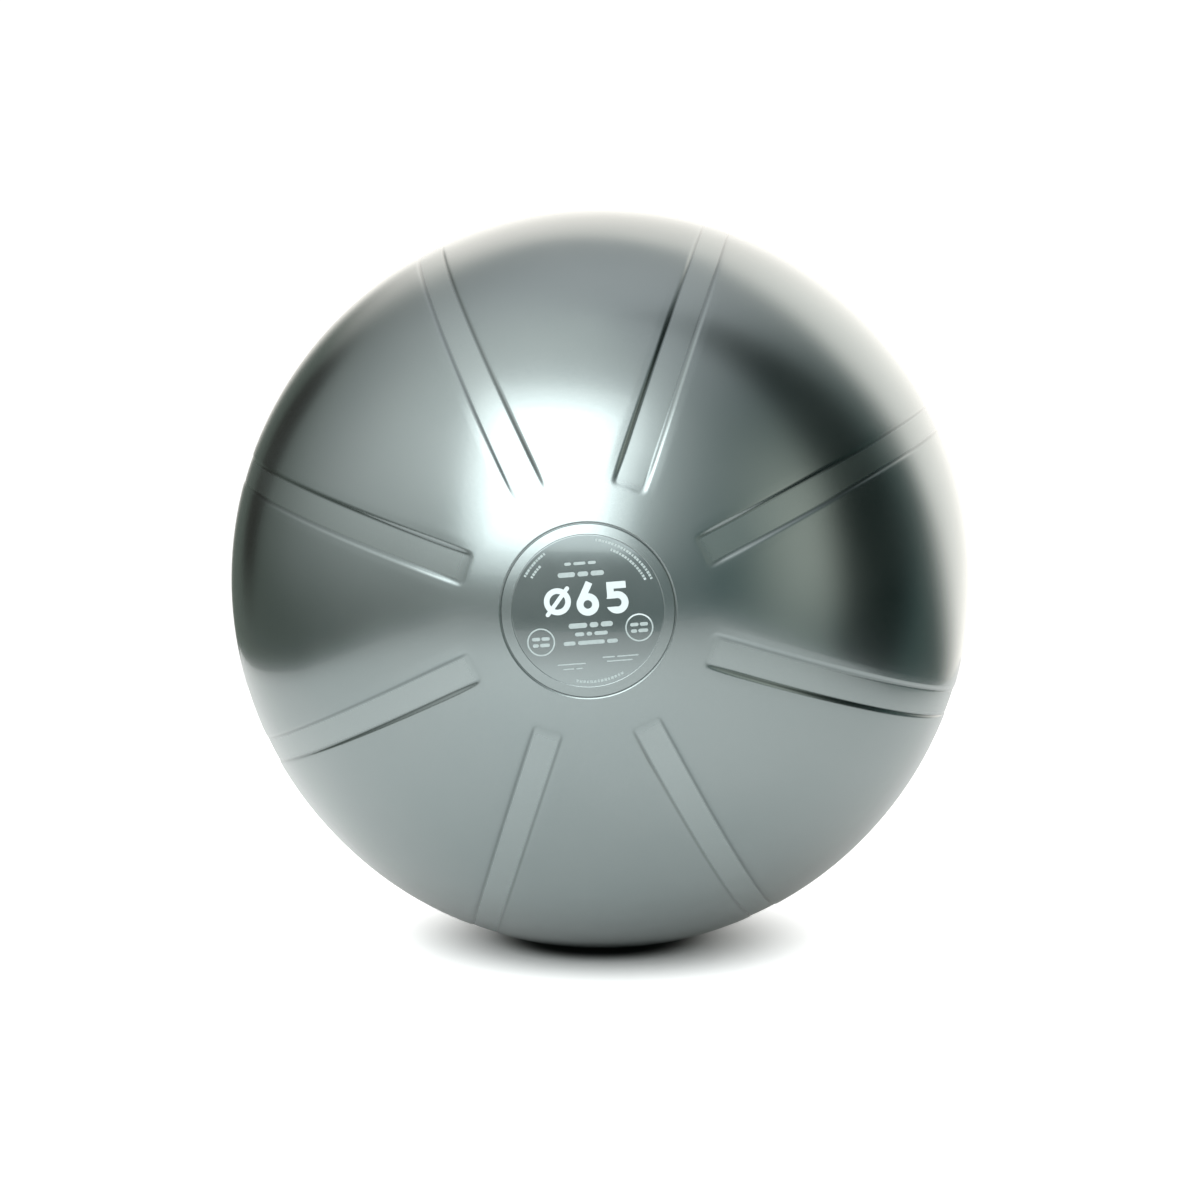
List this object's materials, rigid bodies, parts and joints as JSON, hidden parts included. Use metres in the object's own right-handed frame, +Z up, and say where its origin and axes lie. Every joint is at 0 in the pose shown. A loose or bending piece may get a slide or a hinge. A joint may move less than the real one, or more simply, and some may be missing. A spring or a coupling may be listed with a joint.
{
  "type": "exercise ball",
  "caption": "Inflated exercise ball with recessed pole-to-pole bands, a round label pad and a push-in valve plug that slides out of its seat.",
  "frame": {"origin": "on the floor, at the middle of the flat where the ball rests", "axes": "+Z up; the label pole faces -Y and the valve pole faces +Y; +X is to the right as the label is read"},
  "size_m": [0.6498, 0.6473, 0.6475],
  "materials": {
    "skin": "satin",
    "label_film": "gloss",
    "label_ink": "satin",
    "valve_seat": "satin",
    "valve_plug": "satin"
  },
  "bodies": {
    "ball": {"ball_shell": "skin", "label_disc": "label_film", "label_print": "label_ink", "valve_seat": "valve_seat"},
    "plug": {"valve_plug": "valve_plug"}
  },
  "joints": [
    {"name": "plug_slide", "type": "slide", "parent": "ball", "child": "plug", "axis": [0, 1, 0], "range_m": [0, 0.03]}
  ]
}
